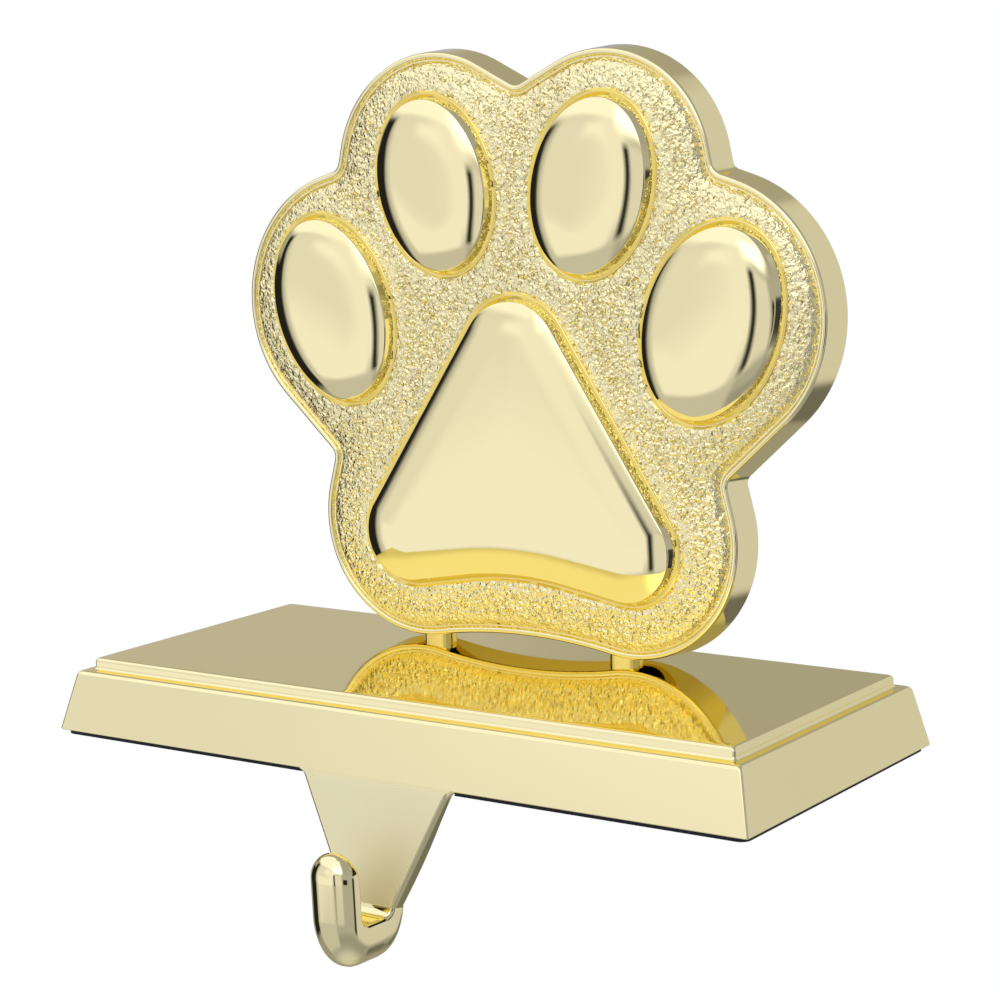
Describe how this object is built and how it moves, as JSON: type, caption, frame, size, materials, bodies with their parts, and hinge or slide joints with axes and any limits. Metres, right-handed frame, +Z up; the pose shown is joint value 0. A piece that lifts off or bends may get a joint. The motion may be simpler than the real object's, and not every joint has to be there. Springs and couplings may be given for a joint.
{
  "type": "mantel stocking holder",
  "caption": "Gold plated mantel stocking holder: a weighted rectangular base with a J hook hanging over its front edge and an upright paw print plaque.",
  "frame": {"origin": "on the mantel surface, under the middle of the base", "axes": "+X to the right seen from the room, +Y towards the wall, +Z up"},
  "size_m": [0.125, 0.0722, 0.1336],
  "materials": {
    "plated_gold": "polished pale gold plating on a zinc casting",
    "fixings": "zinc plated steel",
    "mat": "matt black foam sheet"
  },
  "bodies": {
    "root": {"base_with_hook": "plated_gold", "paw_plaque": "plated_gold", "fixing_washers": "fixings", "fixing_nuts": "fixings", "anti_slip_mat": "mat"}
  },
  "joints": []
}
